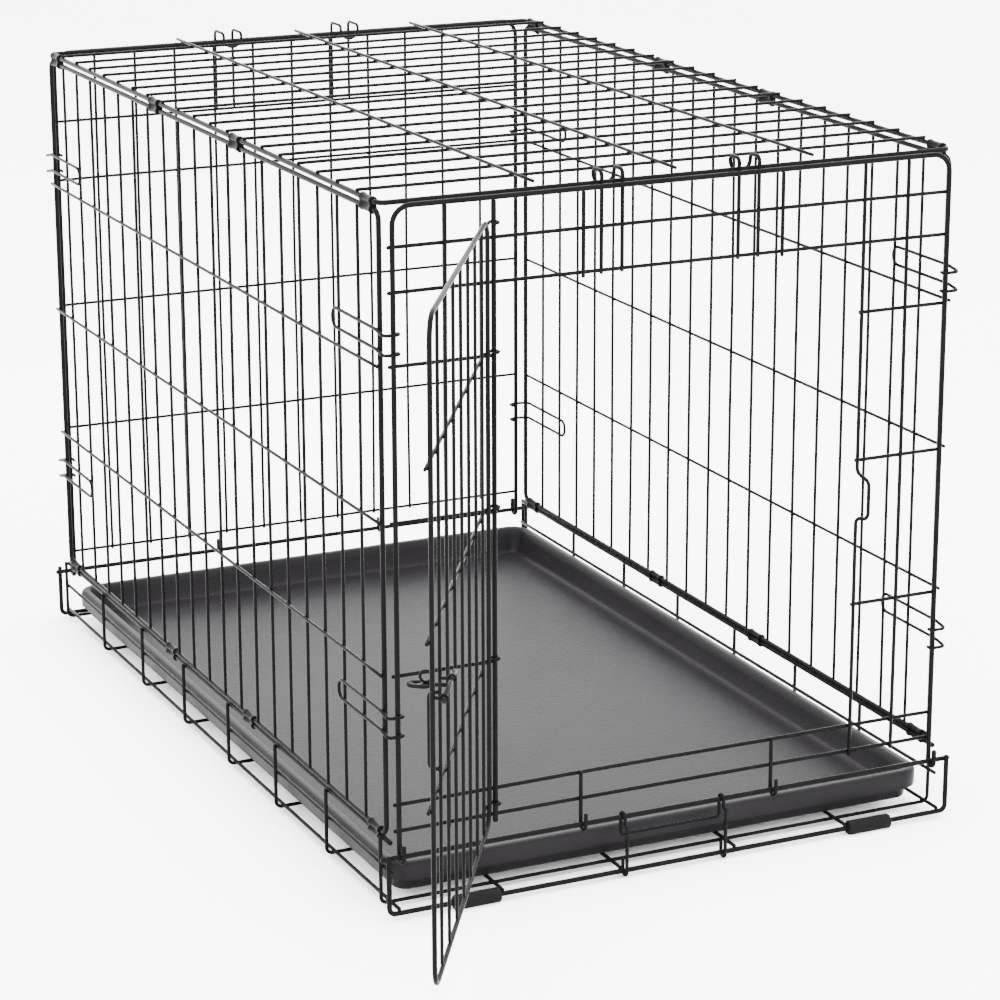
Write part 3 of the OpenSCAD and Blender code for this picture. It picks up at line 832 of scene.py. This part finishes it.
# from the underside up the wall, round the hanging rim and down the inside to the floor: (inset, height)
profile = [(14.0, z0), (9.5, z0 + 0.5), (8.2, z0 + 2.0), (6.3, z1 - 2.2), (3.2, z1 - 2.2), (2.1, z1 - 3.2),
           (1.9, z1 - 14.4), (1.4, z1 - 15.0), (0.3, z1 - 14.6), (0.0, z1 - 13.6), (0.0, z1 - 3.6),
           (0.5, z1 - 1.6), (1.8, z1 - 0.3), (3.4, z1), (6.6, z1), (7.8, z1 - 0.5), (8.6, z1 - 1.6),
           (9.8, z1 - 8.0), (12.6, z0 + 6.0), (13.6, z0 + 3.6), (15.2, z0 + 2.6), (19.0, z0 + 2.1),
           (24.0, z0 + 2.0)]
loops = [rounded_rect(tx - i, ty - i, max(20 - i, 7), z) for i, z in profile]
p.loft(loops)
p.done()


# ---- tray stop: one wire, two hooked legs on the third rail and a bar behind it ----

r = 1.4
eye = wire_r + RUN + r
p = Piece("tray_stop_v", "tray_stop", ["tray_stop"], "black_wire")
y_eye, y_hook = -third_y - eye, -end_wire_y - eye
leg_pts = [(-end_wire_y + eye, floor_z + 9), (-end_wire_y + eye, floor_z - eye), (y_hook, floor_z - eye),
           (y_hook, third_z - 6), (y_eye, third_z - 6), (y_eye, third_z + eye),
           (-third_y + eye, third_z + eye), (-third_y + eye, third_z - 16)]
left_x, right_x = -46, 40
pts = [(left_x, y, z) for y, z in leg_pts] + [(right_x, y, z) for y, z in reversed(leg_pts)]
bends = [eye, eye, 1.6, 1.6, eye, eye, 3]
p.wire(pts, r, bends + list(reversed(bends)))
p.done()


# ---- stage, light and camera ----

bpy.ops.mesh.primitive_plane_add(size=16, location=(0, 0, 0))
ground = bpy.context.object
ground.name = "studio_floor"
ground.data.materials.append(pale_floor())

world = bpy.data.worlds.new("studio")
bpy.context.scene.world = world
world.use_nodes = True
world.node_tree.nodes["Background"].inputs["Color"].default_value = (1, 1, 1, 1)
world.node_tree.nodes["Background"].inputs["Strength"].default_value = 8.0


def lamp(name, at, aim, size, power):
    data = bpy.data.lights.new(name, "AREA")
    data.size = size
    data.energy = power
    o = bpy.data.objects.new(name, data)
    bpy.context.scene.collection.objects.link(o)
    o.location = at
    o.rotation_euler = (Vector(aim) - Vector(at)).to_track_quat("-Z", "Y").to_euler()


lamp("key", (-1.6, -1.8, 2.6), (0, 0, 0.2), 2.4, 60)
lamp("fill", (2.4, -1.6, 1.6), (0, 0, 0.25), 1.6, 80)
lamp("top", (0.2, 0.6, 3.0), (0, 0, 0), 2.4, 220)

# the camera's turn round the crate, rise and roll, its focal length and its offset in mm
AZ, EL, ROLL = math.radians(-25.17), math.radians(16.56), math.radians(-0.15)
SENSOR = 36
LENS = 119.4588
OFFSET = Vector((-29.36, -183.31, -2912.39))
back = Vector((math.sin(AZ) * math.cos(EL), -math.cos(AZ) * math.cos(EL), math.sin(EL)))
right = Z.cross(back).normalized()
up = back.cross(right)
r1 = right * math.cos(ROLL) + up * math.sin(ROLL)
r2 = up * math.cos(ROLL) - right * math.sin(ROLL)
turn = Matrix((r1, r2, back)).transposed()
cam_data = bpy.data.cameras.new("camera")
cam_data.sensor_width = SENSOR
cam_data.lens = LENS
cam_data.clip_end = 60
cam = bpy.data.objects.new("camera", cam_data)
bpy.context.scene.collection.objects.link(cam)
cam.matrix_world = Matrix.Translation(turn @ (-OFFSET * MM)) @ turn.to_4x4()
bpy.context.scene.camera = cam
